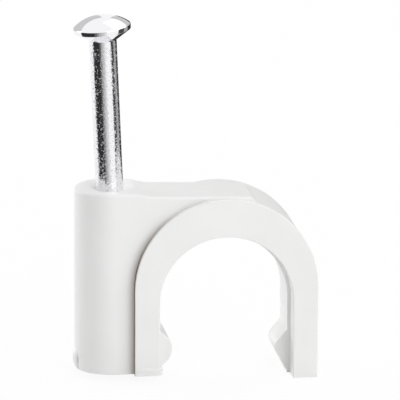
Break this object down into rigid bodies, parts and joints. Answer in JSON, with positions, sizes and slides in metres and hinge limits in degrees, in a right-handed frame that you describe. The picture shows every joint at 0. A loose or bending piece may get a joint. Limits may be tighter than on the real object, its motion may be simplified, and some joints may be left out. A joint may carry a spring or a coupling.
{
  "type": "nail-in cable clip",
  "caption": "Moulded plastic hook for a round cable, with a round boss beside it that carries a loose domed steel nail for fixing the clip to a wall.",
  "frame": {"origin": "under the middle of the clip's box, level with the end of the free leg", "axes": "+X from the nail to the cable, +Y along the cable, +Z away from the wall along the nail"},
  "size_m": [0.0188, 0.007, 0.0287],
  "materials": {
    "clip": "satin moulded",
    "nail": "bright zinc plated"
  },
  "bodies": {
    "root": {"clip_body": "clip", "nail": "nail"}
  },
  "joints": []
}
